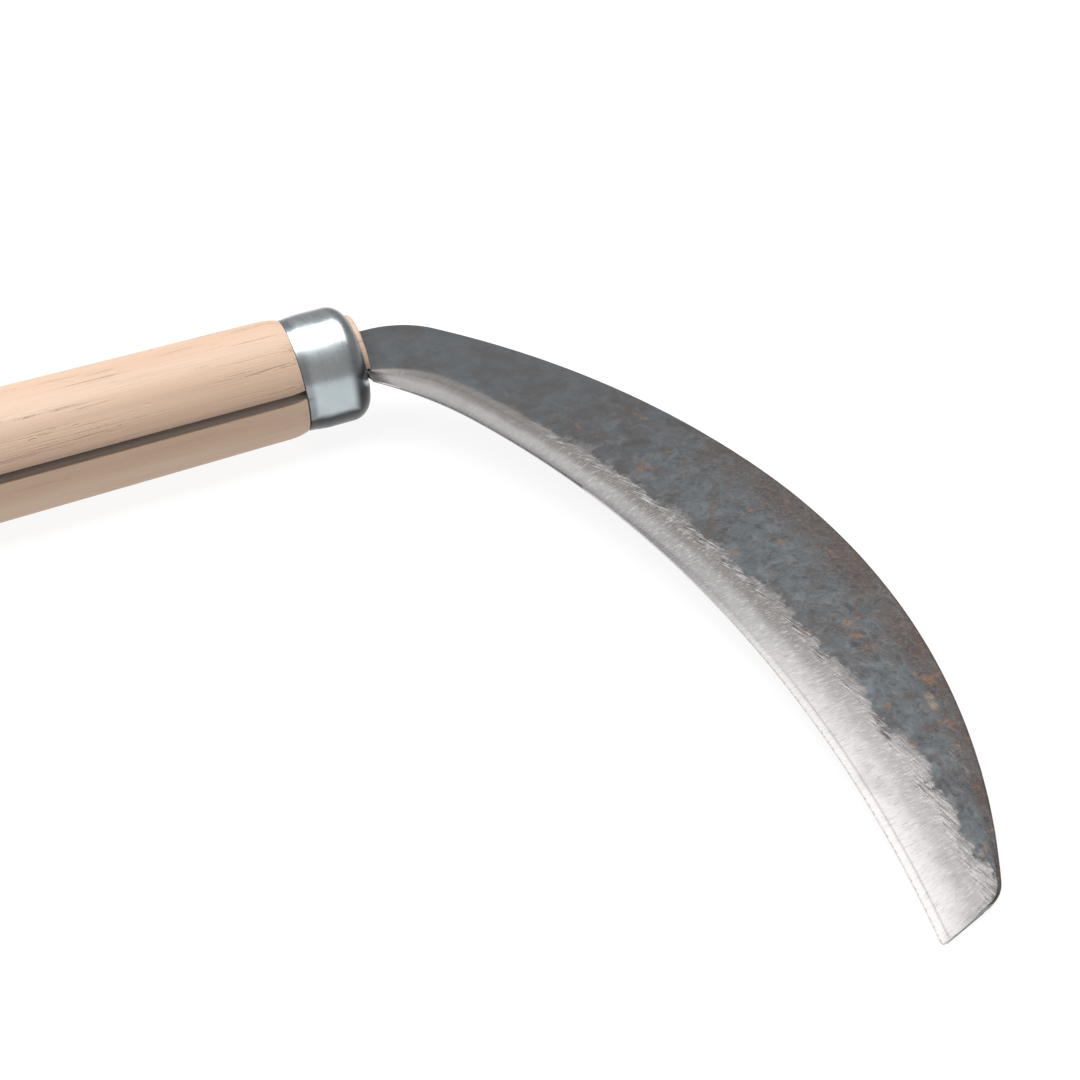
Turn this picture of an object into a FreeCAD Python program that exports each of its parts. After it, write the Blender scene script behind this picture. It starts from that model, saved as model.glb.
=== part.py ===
"""Hand sickle of the Japanese kama type, as it lies on a table with its ground bevel facing up.

Frame: the origin is the centre of the handle's butt face, +X runs along the handle towards the blade, +Z is up,
and the blade sweeps towards -Y. Each piece is drawn in the plane of the blade, where y is across the handle and
z is the height above the handle's axis, and is then rolled about the handle by lay_angle, so that the tip of the
blade rests on the same surface as the handle.
"""

import FreeCAD, Part
import math
import os

import Sketcher

V = FreeCAD.Vector

# Alias, value in millimetres or degrees, meaning.
DIMENSIONS = [
    ("handle_length", 359.0, "butt face to the front end"),
    ("front_rounding", 0.8, "rounding of the front end's rim"),
    ("nose_radius", 11.3, "radius of the wood that stands out of the ferrule"),
    ("grip_radius", 16.0, "handle radius at the butt swell and the front swell"),
    ("waist_radius", 15.3, "handle radius at the waist of the grip"),
    ("neck_radius", 15.0, "handle radius just behind the ferrule"),
    ("shoulder_radius", 14.3, "handle radius where it meets the ferrule's rear rim"),
    ("butt_rounding", 3.0, "rounding of the butt's edge"),
    ("front_swell_x", 200.0, "place of the front swell"),
    ("shoulder_length", 5.0, "length over which the wood is eased down to the ferrule"),
    ("ferrule_front", 357.6, "butt face to the ferrule's front rim"),
    ("ferrule_length", 16.3, "rear rim to front rim"),
    ("ferrule_radius", 14.6, "outer radius"),
    ("ferrule_wall", 0.9, "sheet thickness"),
    ("ferrule_rounding", 5.0, "outer radius of the rolled front"),
    ("ferrule_roll", 64.0, "angle through which the front is rolled in"),
    ("kerf_width", 2.6, "saw kerf, and the tang pressed into it"),
    ("kerf_height", 1.9, "centre plane of the kerf above the handle's axis"),
    ("kerf_bottom", 7.85, "bottom of the kerf, on the spine's side of the axis"),
    ("kerf_length", 115.0, "front end to the rear end of the kerf"),
    ("tang_length", 99.0, "front end to the rear end of the tang"),
    ("tang_end_width", 9.0, "tang width at its rear end, without the hook"),
    ("hook_width", 4.4, "hooked end of the tang, along the handle"),
    ("hook_depth", 5.0, "how far the hook is turned into the wood below the kerf"),
    ("tip_thickness", 1.0, "blade thickness at the tip cut"),
    ("neck_reach", -1.2, "edge side of the neck where it leaves the ferrule, ahead of the wood's front"),
    ("neck_drop", 10.8, "edge side of the neck there, on the edge's side of the handle's axis"),
    ("heel_reach", -0.7, "start of the edge ahead of the wood's front"),
    ("heel_drop", 12.9, "start of the edge, on the edge's side of the handle's axis"),
    ("heel_heading", 51.2, "direction of the edge at the heel, from +X towards -Y"),
    ("edge_heel_radius", 104.4, "edge curve from the heel"),
    ("edge_heel_turn", 17.4, "angle turned along it"),
    ("edge_radius", 289.8, "edge curve from there to the tip"),
    ("edge_turn", 34.95, "angle turned along it"),
    ("spine_reach", 3.57, "start of the spine's curve ahead of the wood's front"),
    ("spine_heading", -2.4, "direction of the spine at its start, from +X towards -Y"),
    ("hump_radius", 20.5, "spine curve at the root"),
    ("hump_turn", 52.8, "angle turned along it"),
    ("back_radius", 210.1, "spine curve along the middle"),
    ("back_turn", 27.8, "angle turned along it"),
    ("belly_radius", 158.0, "spine curve up to the tip"),
    ("belly_turn", 45.2, "angle turned along it"),
    ("tip_rounding", 2.5, "rounding of the corner between the spine and the tip cut"),
    ("edge_thickness", 0.15, "thickness left at the ground edge"),
    ("bevel_heel", 3.0, "bevel width at the heel"),
    ("bevel_middle", 8.2, "bevel width along the middle"),
    ("bevel_tip", 13.2, "bevel width at the tip cut"),
    ("steel_thickness", 0.5, "hard-steel facing on the flat underside"),
    ("steel_width", 10.0, "facing width, from the edge inwards"),
    ("lay_angle", 4.45, "roll about the handle's axis that rests the tip on the table"),
]


def make_sheet(doc):
    """Write the driving dimensions to a spreadsheet and give each value its alias."""
    sheet = doc.addObject("Spreadsheet::Sheet", "dims")
    for row, (alias, value, meaning) in enumerate(DIMENSIONS, start=1):
        sheet.set(f"A{row}", alias)
        sheet.set(f"B{row}", str(value))
        sheet.set(f"C{row}", meaning)
        sheet.setAlias(f"B{row}", alias)
    doc.recompute()
    return sheet


doc = FreeCAD.newDocument("hand_sickle")
sheet = make_sheet(doc)
size = {alias: float(sheet.get(alias)) for alias, _, _ in DIMENSIONS}


# ---- sketch helpers ------------------------------------------------------------------------------------------

def origin_plane(body, role):
    """One of the body's own origin planes, such as XY_Plane."""
    return next(f for f in body.Origin.OriginFeatures if f.Role == role)


def new_sketch(body, name, role, offset=FreeCAD.Placement()):
    """A sketch on one of the body's origin planes, moved by an offset in that plane's own axes."""
    sketch = body.newObject("Sketcher::SketchObject", name)
    sketch.AttachmentSupport = [(origin_plane(body, role), "")]
    sketch.MapMode = "FlatFace"
    sketch.AttachmentOffset = offset
    return sketch


def arc(start, middle, end):
    """The circular arc through three points, stored anticlockwise as a sketch needs it."""
    turn = (middle - start).cross(end - middle).z
    return Part.ArcOfCircle(start, middle, end) if turn > 0 else Part.ArcOfCircle(end, middle, start)


def outline(corners):
    """The closed run of straight lines through the corners."""
    return [Part.LineSegment(a, b) for a, b in zip(corners, corners[1:] + corners[:1])]


def add_loop(sketch, curves):
    """Add a closed loop of curves and join each to the next at the ends that meet."""
    ids = [sketch.addGeometry(curve, False) for curve in curves]
    for here, after in zip(ids, ids[1:] + ids[:1]):
        gap = {
            (a, b): sketch.getPoint(here, a).distanceToPoint(sketch.getPoint(after, b))
            for a in (1, 2)
            for b in (1, 2)
        }
        a, b = min(gap, key=gap.get)
        sketch.addConstraint(Sketcher.Constraint("Coincident", here, a, after, b))
    return ids


def bind(sketch, alias, kind, *where):
    """Add a dimension to a sketch and drive it from the spreadsheet cell of that alias."""
    value = math.radians(size[alias]) if kind == "Angle" else size[alias]
    index = sketch.addConstraint(Sketcher.Constraint(kind, *where, value))
    sketch.renameConstraint(index, alias)
    sketch.setExpression(f"Constraints.{alias}", f"dims.{alias}")


def at(x, y, z):
    """A placement that only moves."""
    return FreeCAD.Placement(V(x, y, z), FreeCAD.Rotation())


def new_body(label):
    """A body rolled about the handle's axis, so that it lies with the others."""
    body = doc.addObject("PartDesign::Body", label)
    body.Label = label
    body.Placement = FreeCAD.Placement(V(0, 0, 0), FreeCAD.Rotation(V(1, 0, 0), size["lay_angle"]))
    body.setExpression(".Placement.Rotation.Angle", "dims.lay_angle * 1 deg")
    return body


def cut_through(body, name, sketch, thickness):
    """Cut a sketch's shape out of a body, evenly to both sides of the sketch."""
    cut = body.newObject("PartDesign::Pocket", name)
    cut.Profile = sketch
    cut.SideType = "Symmetric"
    cut.Length = thickness
    return cut


def revolve(body, name, sketch):
    """Turn a profile once round the handle's axis."""
    feature = body.newObject("PartDesign::Revolution", name)
    feature.Profile = sketch
    feature.ReferenceAxis = (sketch, ["H_Axis"])
    feature.Angle = 360.0
    return feature


# ---- shared geometry of the blade ----------------------------------------------------------------------------

UNDERSIDE = size["kerf_height"] - size["kerf_width"] / 2
TOPSIDE = size["kerf_height"] + size["kerf_width"] / 2
FRONT = size["handle_length"]
KERF_REAR = FRONT - size["kerf_length"]
TANG_REAR = FRONT - size["tang_length"]
HOOK_FRONT = TANG_REAR + size["hook_width"]
HOOK_END = size["kerf_bottom"] + size["hook_depth"]
CLEAR = 6.0  # how far a cut runs on past what it cuts


def heading(degrees):
    """Unit vector in the blade's plane, turned from +X towards -Y."""
    return V(math.cos(math.radians(degrees)), -math.sin(math.radians(degrees)), 0)


class Curve:
    """A run of arcs, each tangent to the one before, that all bend back towards the handle."""

    def __init__(self, start, direction, arcs):
        self.pieces = []
        for radius, turn in arcs:
            centre = start + heading(direction + 90) * radius
            self.pieces.append((centre, radius, direction, turn))
            direction += turn
            start = centre - heading(direction + 90) * radius
        self.end = start
        self.turn = sum(turn for _, turn in arcs)

    def point(self, turned, outward=0.0):
        """The point where the run has turned this far, moved outward from its centre, and the direction there."""
        for centre, radius, direction, turn in self.pieces:
            if turned <= turn + 1e-9:
                break
            turned -= turn
        direction += min(turned, turn)
        return centre - heading(direction + 90) * (radius + outward), direction

    def arcs(self, outward=0.0, skip=0.0, extra=0.0):
        """The run as sketch arcs, or a parallel run moved outward, begun late by skip and ended late by extra."""
        drawn = []
        for number, (centre, radius, direction, turn) in enumerate(self.pieces):
            low = skip if number == 0 else 0.0
            high = turn + extra if number == len(self.pieces) - 1 else turn
            ends = [
                centre - heading(direction + 90 + angle) * (radius + outward)
                for angle in (low, (low + high) / 2, high)
            ]
            drawn.append(arc(*ends))
        return drawn


EDGE = Curve(
    V(FRONT + size["heel_reach"], -size["heel_drop"], 0),
    size["heel_heading"],
    [(size["edge_heel_radius"], size["edge_heel_turn"]), (size["edge_radius"], size["edge_turn"])],
)
SPINE = Curve(
    V(FRONT + size["spine_reach"], size["kerf_bottom"], 0),
    size["spine_heading"],
    [
        (size["hump_radius"], size["hump_turn"]),
        (size["back_radius"], size["back_turn"]),
        (size["belly_radius"], size["belly_turn"]),
    ],
)
TAPER_START = 12.0

# Part of the edge's whole turn, and the bevel's width there.
BEVEL_STATIONS = [
    (0.0, "bevel_heel"),
    (0.2, "bevel_middle"),
    (0.5, "bevel_middle"),
    (0.8, "bevel_tip"),
    (1.0, "bevel_tip"),
]


def top_at(y):
    """Height of the blade's upper face, which falls evenly from the root to the tip."""
    fall = size["kerf_width"] - size["tip_thickness"]
    return TOPSIDE - fall * max(0.0, -y - TAPER_START) / (-EDGE.end.y - TAPER_START)


def grind_bevel(body):
    """Grind the upper face down to the edge: a wedge that widens from the heel to the tip is cut away."""
    profiles = []
    overrun = CLEAR / 2
    for number, (fraction, alias) in enumerate(BEVEL_STATIONS):
        corner, direction = EDGE.point(EDGE.turn * fraction)
        inward = -heading(direction + 90)
        if number == 0:
            corner = corner - heading(direction) * overrun
        if fraction == 1.0:
            corner = corner + heading(direction) * overrun
        foot = UNDERSIDE + size["edge_thickness"]
        slope = (top_at(corner.y) - foot) / size[alias]
        reach = size[alias] + overrun
        rotation = FreeCAD.Rotation(inward, V(0, 0, 1), inward.cross(V(0, 0, 1)), "XYZ")
        sketch = new_sketch(body, f"bevel_{number}", "XY_Plane", FreeCAD.Placement(corner, rotation))
        low = V(-overrun, foot - slope * overrun, 0)
        high = V(reach, foot + slope * reach, 0)
        add_loop(sketch, outline([low, high, V(low.x, high.y, 0)]))
        profiles.append(sketch)
    cut = body.newObject("PartDesign::SubtractiveLoft", "bevel")
    cut.Profile = profiles[0]
    cut.Sections = profiles[1:]
    cut.Ruled = False
    return cut


# ---- handle --------------------------------------------------------------------------------------------------

FERRULE_REAR = size["ferrule_front"] - size["ferrule_length"]
SEAT_RADIUS = size["ferrule_radius"] - size["ferrule_wall"]
ROLL = math.radians(size["ferrule_roll"])
ROLL_START = size["ferrule_front"] - size["ferrule_rounding"] * math.sin(ROLL)
NOSE_START = (ROLL_START + size["ferrule_front"]) / 2


def rounded_corner(corner, radius, inward):
    """Ends and middle of the arc that rounds a corner: on the end face, between, and on the side."""
    centre = corner + V(inward * radius, -radius, 0)
    diagonal = V(-inward, 1, 0) * (radius * math.sqrt(0.5))
    return V(corner.x, centre.y, 0), centre + diagonal, V(centre.x, corner.y, 0)


def make_handle():
    """Turned stick with a swell at each end of the grip, eased into the ferrule and kerfed from the front."""
    body = new_body("handle")
    profile = new_sketch(body, "handle_profile", "XZ_Plane")
    grip, nose = size["grip_radius"], size["nose_radius"]
    butt, butt_middle, butt_end = rounded_corner(V(0, grip, 0), size["butt_rounding"], 1)
    front_end, front_middle, front = rounded_corner(V(FRONT, nose, 0), size["front_rounding"], -1)
    swell = V(size["front_swell_x"], grip, 0)
    waist = V((butt_end.x + swell.x) / 2, size["waist_radius"], 0)
    neck = V(FERRULE_REAR - size["shoulder_length"], size["neck_radius"], 0)
    side = [
        swell,
        neck,
        V(FERRULE_REAR, size["shoulder_radius"], 0),
        V(FERRULE_REAR, SEAT_RADIUS, 0),
        V(ROLL_START, SEAT_RADIUS, 0),
        V(NOSE_START, nose, 0),
        front,
    ]
    axis = [front_end, V(FRONT, 0, 0), V(0, 0, 0), butt]
    ids = add_loop(profile, [
        *[Part.LineSegment(a, b) for a, b in zip(side, side[1:])],
        arc(front, front_middle, front_end),
        *[Part.LineSegment(a, b) for a, b in zip(axis, axis[1:])],
        arc(butt, butt_middle, butt_end),
        arc(butt_end, waist, swell),
    ])
    profile.addConstraint(Sketcher.Constraint("Coincident", ids[9], 1, -1, 1))
    profile.addConstraint(Sketcher.Constraint("Vertical", ids[9]))
    profile.addConstraint(Sketcher.Constraint("Horizontal", ids[8]))
    bind(profile, "handle_length", "DistanceX", ids[8], 2, ids[8], 1)
    bind(profile, "front_swell_x", "DistanceX", -1, 1, ids[0], 1)
    bind(profile, "grip_radius", "DistanceY", -1, 1, ids[0], 1)
    bind(profile, "neck_radius", "DistanceY", -1, 1, ids[0], 2)
    bind(profile, "shoulder_radius", "DistanceY", -1, 1, ids[1], 2)
    bind(profile, "nose_radius", "DistanceY", -1, 1, ids[5], 1)
    bind(profile, "front_rounding", "Radius", ids[6])
    bind(profile, "butt_rounding", "Radius", ids[10])
    revolve(body, "stick", profile)

    kerf = new_sketch(body, "kerf_outline", "XY_Plane", at(0, 0, size["kerf_height"]))
    kerf.setExpression(".AttachmentOffset.Base.z", "dims.kerf_height")
    open_side, bottom = -grip - CLEAR, size["kerf_bottom"]
    ids = add_loop(kerf, outline([
        V(KERF_REAR, open_side, 0),
        V(FRONT + CLEAR, open_side, 0),
        V(FRONT + CLEAR, bottom, 0),
        V(HOOK_FRONT, bottom, 0),
        V(HOOK_FRONT, HOOK_END, 0),
        V(TANG_REAR, HOOK_END, 0),
        V(TANG_REAR, bottom, 0),
        V(KERF_REAR, bottom, 0),
    ]))
    bind(kerf, "kerf_bottom", "DistanceY", -1, 1, ids[1], 2)
    slot = cut_through(body, "kerf", kerf, size["kerf_width"])
    slot.setExpression("Length", "dims.kerf_width")
    return body


# ---- ferrule -------------------------------------------------------------------------------------------------

def rolled_front(inset):
    """The rolled front edge, inset from the outer skin: where it begins, its middle and its rim."""
    centre = V(ROLL_START, size["ferrule_radius"] - size["ferrule_rounding"], 0)
    radius = size["ferrule_rounding"] - inset
    return [centre + V(math.sin(ROLL * part), math.cos(ROLL * part), 0) * radius for part in (0, 0.5, 1)]


def make_ferrule():
    """Pressed cap: a plain sleeve whose front edge is rolled in round the wood."""
    body = new_body("ferrule")
    profile = new_sketch(body, "ferrule_profile", "XZ_Plane")
    outer, outer_middle, outer_rim = rolled_front(0)
    inner, inner_middle, inner_rim = rolled_front(size["ferrule_wall"])
    rear_outer = V(FERRULE_REAR, size["ferrule_radius"], 0)
    rear_inner = V(FERRULE_REAR, SEAT_RADIUS, 0)
    ids = add_loop(profile, [
        Part.LineSegment(rear_outer, outer),
        arc(outer, outer_middle, outer_rim),
        Part.LineSegment(outer_rim, inner_rim),
        arc(inner_rim, inner_middle, inner),
        Part.LineSegment(inner, rear_inner),
        Part.LineSegment(rear_inner, rear_outer),
    ])
    profile.addConstraint(Sketcher.Constraint("Horizontal", ids[0]))
    profile.addConstraint(Sketcher.Constraint("Vertical", ids[5]))
    bind(profile, "ferrule_radius", "DistanceY", -1, 1, ids[0], 1)
    bind(profile, "ferrule_wall", "DistanceY", ids[5], 1, ids[5], 2)
    bind(profile, "ferrule_rounding", "Radius", ids[1])
    revolve(body, "cap", profile)
    return body


# ---- blade ---------------------------------------------------------------------------------------------------

def make_blade():
    """Soft-iron forging: hooked tang, neck and crescent blade, thinner towards the tip and ground to an edge."""
    body = new_body("blade")
    shape = new_sketch(body, "blade_outline", "XY_Plane", at(0, 0, UNDERSIDE))
    shape.setExpression(".AttachmentOffset.Base.z", "dims.kerf_height - dims.kerf_width / 2")
    back = size["kerf_bottom"]
    heel, _ = EDGE.point(0)
    root, _ = SPINE.point(0)
    tang = [
        heel,
        V(FRONT + size["neck_reach"], -size["neck_drop"], 0),
        V(TANG_REAR, back - size["tang_end_width"], 0),
        V(TANG_REAR, HOOK_END, 0),
        V(HOOK_FRONT, HOOK_END, 0),
        V(HOOK_FRONT, back, 0),
        root,
    ]
    lines = [Part.LineSegment(a, b) for a, b in zip(tang, tang[1:])]
    ids = add_loop(shape, lines + SPINE.arcs() + [Part.LineSegment(SPINE.end, EDGE.end)] + EDGE.arcs()[::-1])
    bind(shape, "hook_width", "DistanceX", ids[3], 1, ids[3], 2)
    bind(shape, "hump_radius", "Radius", ids[6])
    bind(shape, "back_radius", "Radius", ids[7])
    bind(shape, "belly_radius", "Radius", ids[8])
    bind(shape, "edge_radius", "Radius", ids[10])
    bind(shape, "edge_heel_radius", "Radius", ids[11])
    plate = body.newObject("PartDesign::Pad", "plate")
    plate.Profile = shape
    plate.Length = size["kerf_width"]
    plate.setExpression("Length", "dims.kerf_width")
    doc.recompute()
    corner = [
        f"Edge{number}"
        for number, edge in enumerate(plate.Shape.Edges, start=1)
        if all(math.dist(v.Point[:2], (SPINE.end.x, SPINE.end.y)) < 0.01 for v in edge.Vertexes)
    ]
    rounding = body.newObject("PartDesign::Fillet", "tip_rounding")
    rounding.Base = (plate, corner)
    rounding.Radius = size["tip_rounding"]
    rounding.setExpression("Radius", "dims.tip_rounding")

    taper = new_sketch(body, "taper_outline", "YZ_Plane")
    end = EDGE.end.y - CLEAR
    add_loop(taper, outline([V(-TAPER_START, TOPSIDE, 0), V(end, top_at(end), 0), V(end, TOPSIDE + CLEAR, 0)]))
    cut_through(body, "taper", taper, 4 * FRONT)
    grind_bevel(body)

    rebate = body.newObject("PartDesign::Pocket", "rebate")
    rebate.Profile = facing_sketch(body, "rebate_outline", overrun=CLEAR)
    rebate.Reversed = True
    rebate.Length = size["steel_thickness"]
    rebate.setExpression("Length", "dims.steel_thickness")
    return body


# ---- hard-steel facing ---------------------------------------------------------------------------------------

# Degrees along the edge by which the facing starts late and its outline runs on past the tip.
FACING_SKIP = 1.5
PAST_TIP = 1.0


def facing_sketch(body, name, overrun):
    """Band along the edge, as wide as the facing. Its edge side can overrun the blade, and it ends past the tip."""
    sketch = new_sketch(body, name, "XY_Plane", at(0, 0, UNDERSIDE))
    inner = EDGE.arcs(size["steel_width"], FACING_SKIP, PAST_TIP)
    outer = EDGE.arcs(-overrun, FACING_SKIP, PAST_TIP)
    starts = [EDGE.point(FACING_SKIP, outward)[0] for outward in (-overrun, size["steel_width"])]
    centre, radius, direction, turn = EDGE.pieces[-1]
    past = heading(direction + 90 + turn + PAST_TIP)
    ends = [centre - past * (radius + outward) for outward in (size["steel_width"], -overrun)]
    add_loop(sketch, [Part.LineSegment(*starts)] + inner + [Part.LineSegment(*ends)] + outer[::-1])
    return sketch


def make_edge_steel():
    """Hard-steel strip, forge-welded under the iron along the edge and ground together with it."""
    body = new_body("edge_steel")
    strip = body.newObject("PartDesign::Pad", "strip")
    strip.Profile = facing_sketch(body, "strip_outline", overrun=0.0)
    strip.Length = size["steel_thickness"]
    strip.setExpression("Length", "dims.steel_thickness")

    tip = new_sketch(body, "tip_outline", "XY_Plane", at(0, 0, UNDERSIDE))
    along = (SPINE.end - EDGE.end).normalize()
    beyond = V(along.y, -along.x, 0)
    reach = 2 * size["steel_width"]
    low, high = EDGE.end - along * reach, EDGE.end + along * reach
    add_loop(tip, outline([low, high, high + beyond * reach, low + beyond * reach]))
    cut_through(body, "tip_cut", tip, reach)
    grind_bevel(body)
    return body


# ---- build, check and write ----------------------------------------------------------------------------------

bodies = [make_handle(), make_ferrule(), make_blade(), make_edge_steel()]
doc.recompute()

for item in doc.Objects:
    faults = {"Invalid", "Error"} & set(item.State)
    if faults:
        raise RuntimeError(f"{item.Name} is {faults}")
for body in bodies:
    shape = body.Shape
    if shape.isNull() or not shape.isValid() or len(shape.Solids) != 1:
        raise RuntimeError(f"{body.Label} is not one valid solid")

os.makedirs("parts", exist_ok=True)
for body in bodies:
    body.Shape.exportStep(f"parts/{body.Label}.step")
    box = body.Shape.optimalBoundingBox(False)
    spans = ", ".join(f"{low:.1f} to {high:.1f}" for low, high in (
        (box.XMin, box.XMax), (box.YMin, box.YMax), (box.ZMin, box.ZMax)))
    print(f"{body.Label}: {body.Shape.Volume / 1000:.2f} cm3, {spans} mm")
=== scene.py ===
import math

import bmesh
import bpy
from mathutils import Matrix, Vector, noise


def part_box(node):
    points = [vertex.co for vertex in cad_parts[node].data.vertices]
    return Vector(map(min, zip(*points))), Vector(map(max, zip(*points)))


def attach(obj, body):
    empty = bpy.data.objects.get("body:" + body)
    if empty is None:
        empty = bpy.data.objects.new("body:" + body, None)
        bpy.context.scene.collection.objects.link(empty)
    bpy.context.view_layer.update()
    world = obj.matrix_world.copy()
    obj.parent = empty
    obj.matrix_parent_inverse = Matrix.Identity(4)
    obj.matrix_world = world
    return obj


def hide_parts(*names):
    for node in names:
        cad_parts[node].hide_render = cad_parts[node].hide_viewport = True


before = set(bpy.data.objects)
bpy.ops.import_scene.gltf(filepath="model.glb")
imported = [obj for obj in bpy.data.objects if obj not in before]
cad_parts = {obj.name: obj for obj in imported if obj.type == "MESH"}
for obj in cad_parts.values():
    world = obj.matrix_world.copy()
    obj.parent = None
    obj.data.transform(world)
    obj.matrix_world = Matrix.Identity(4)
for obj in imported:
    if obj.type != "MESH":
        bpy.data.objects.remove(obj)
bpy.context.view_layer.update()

# ---- places and sizes, in metres, the first of them from the frame ----

MM = 0.001
GRIP_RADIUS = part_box("handle")[1].z
FERRULE_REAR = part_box("ferrule")[0].x
FERRULE_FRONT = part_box("ferrule")[1].x
FERRULE_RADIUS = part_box("ferrule")[1].z
ROOT_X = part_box("handle")[1].x
FLOOR_Z = -GRIP_RADIUS

# The blade's plane is rolled about the handle, so that the tip rests on the table.
LAY = Matrix.Rotation(math.radians(4.45), 4, "X")
UNDERSIDE = 0.6 * MM
TOPSIDE = 3.2 * MM
MIDPLANE = (UNDERSIDE + TOPSIDE) / 2
KERF_BOTTOM = 7.85 * MM
KERF_END = ROOT_X - 115 * MM
TANG_REAR = ROOT_X - 99 * MM
TANG_END_WIDTH = 9.0 * MM
HOOK_WIDTH = 4.4 * MM
HOOK_DEPTH = 5.0 * MM
TIP_THICKNESS = 1.0 * MM
EDGE_THICKNESS = 0.15 * MM


def lerp(a, b, f):
    return a + (b - a) * f


def clamp(x, low=0.0, high=1.0):
    return max(low, min(high, x))


def smooth(x, low=0.0, high=1.0):
    """0 below low, 1 above high, and an even ease between them."""
    f = clamp((x - low) / (high - low))
    return f * f * (3 - 2 * f)


def bell(x, width):
    """1 at zero, falling evenly on both sides."""
    return math.exp(-((x / width) ** 2))


def wobble(seed, x, y=0.0, z=0.0):
    """Repeatable noise of about -1 to 1 at a place given in feature sizes."""
    return noise.noise(Vector((x + 17.3 * seed, y - 9.1 * seed, z + 4.7 * seed)))


# ---- mesh helpers ----

WELD = 2e-6
SLIVER = 1e-6


def finish_mesh(name, bm, roll=LAY):
    """Turns a bmesh into an object, rolled with the blade's plane."""
    bmesh.ops.recalc_face_normals(bm, faces=bm.faces)
    mesh = bpy.data.meshes.new(name)
    bm.to_mesh(mesh)
    bm.free()
    mesh.transform(roll)
    piece = bpy.data.objects.new(name, mesh)
    bpy.context.scene.collection.objects.link(piece)
    return piece


def around(count):
    """Cosine and sine of evenly spaced angles, once round."""
    angles = [2 * math.pi * i / count for i in range(count)]
    return [(math.cos(angle), math.sin(angle)) for angle in angles]


def bridge(bm, rings, closed=False):
    """Quads between each ring of vertices and the next, and from the last to the first if closed."""
    count = len(rings[0])
    for a, b in zip(rings, rings[1:] + rings[:1] if closed else rings[1:]):
        for j in range(count):
            k = (j + 1) % count
            bm.faces.new((a[j], b[j], b[k], a[k]))


def tube(name, loops, values):
    """A closed skin through equal loops of points, capped at both ends. values: lists by attribute name."""
    bm = bmesh.new()
    layers = {key: bm.verts.layers.float.new(key) for key in values}
    rings = []
    for i, loop in enumerate(loops):
        ring = []
        for j, point in enumerate(loop):
            vert = bm.verts.new(point)
            for key, layer in layers.items():
                vert[layer] = values[key][i][j]
            ring.append(vert)
        rings.append(ring)
    bridge(bm, rings)
    bm.faces.new(rings[0])
    bm.faces.new(rings[-1][::-1])
    bmesh.ops.remove_doubles(bm, verts=bm.verts, dist=WELD)
    bmesh.ops.dissolve_degenerate(bm, edges=bm.edges, dist=SLIVER)
    return finish_mesh(name, bm)


def smooth_by_angle(piece, degrees):
    """Smooth shading that keeps the creases sharper than this angle."""
    piece.data.polygons.foreach_set("use_smooth", [True] * len(piece.data.polygons))
    piece.data.set_sharp_from_angle(angle=math.radians(degrees))


# ---- outline of the blade ----

def heading(degrees):
    """Unit vector in the blade's plane, turned from +X towards -Y."""
    return Vector((math.cos(math.radians(degrees)), -math.sin(math.radians(degrees)), 0))


class Curve:
    """A run of arcs, each tangent to the one before, that all bend back towards the handle."""

    def __init__(self, start, direction, arcs):
        self.pieces = []
        self.length = 0.0
        for radius, turn in arcs:
            centre = start + heading(direction + 90) * radius
            self.pieces.append((centre, radius, direction, turn))
            self.length += radius * math.radians(turn)
            direction += turn
            start = centre - heading(direction + 90) * radius
        self.end = start

    def at(self, distance):
        """The point this far along, and the direction there."""
        for centre, radius, direction, turn in self.pieces:
            angle = math.degrees(distance / radius)
            if angle <= turn:
                break
            distance -= radius * math.radians(turn)
        direction += min(angle, turn)
        return centre - heading(direction + 90) * radius, direction


HEEL_HEADING = 51.2
HEEL = Vector((ROOT_X - 0.7 * MM, -12.9 * MM, 0))
NECK = Vector((ROOT_X - 1.2 * MM, -10.8 * MM, 0))
ROOT = Vector((ROOT_X + 3.57 * MM, KERF_BOTTOM, 0))
EDGE_CORNER = 1.1 * MM
SPINE_CORNER = 2.6 * MM
EDGE = Curve(HEEL, HEEL_HEADING, [(104.4 * MM, 17.4), (289.8 * MM, 34.95)])
SPINE = Curve(ROOT, -2.4, [(20.5 * MM, 52.8), (210.1 * MM, 27.8), (158.0 * MM, 45.2)])
TIP_LINE = (SPINE.end - EDGE.end).normalized()


def rounded(curve, away, cut):
    """The curve with its last stretch eased into the tip line, as a function of distance."""
    straight = curve.length - cut
    before, _ = curve.at(straight)
    after = curve.end + away * cut

    def point(distance):
        if distance <= straight:
            return curve.at(distance)[0]
        f = clamp((distance - straight) / cut)
        return before * (1 - f) ** 2 + curve.end * 2 * f * (1 - f) + after * f * f

    return point


edge_point = rounded(EDGE, TIP_LINE, EDGE_CORNER)
spine_point = rounded(SPINE, -TIP_LINE, SPINE_CORNER)


SEARCH_STEPS = 400


def spine_facing(start, direction):
    """Distance along the spine at which a line from the edge meets it."""
    step = SPINE.length / SEARCH_STEPS
    across = Vector((-direction.y, direction.x, 0))
    side = (spine_point(0) - start).dot(across)
    for i in range(1, SEARCH_STEPS + 1):
        point = spine_point(i * step)
        here = (point - start).dot(across)
        if side * here <= 0 and (point - start).dot(direction) > 0:
            return i * step - step * abs(here) / max(abs(here) + abs(side), 1e-12)
        side = here
    return SPINE.length


# The ribs fan out from the root and again towards the tip line.
ROOT_FAN = 0.16
TIP_FAN = 0.86
ROOT_REACH = spine_facing(edge_point(0), heading(HEEL_HEADING - 90))
fan_start, fan_heading = EDGE.at(EDGE.length * TIP_FAN)
TIP_REACH = spine_facing(fan_start, heading(fan_heading - 90))


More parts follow.
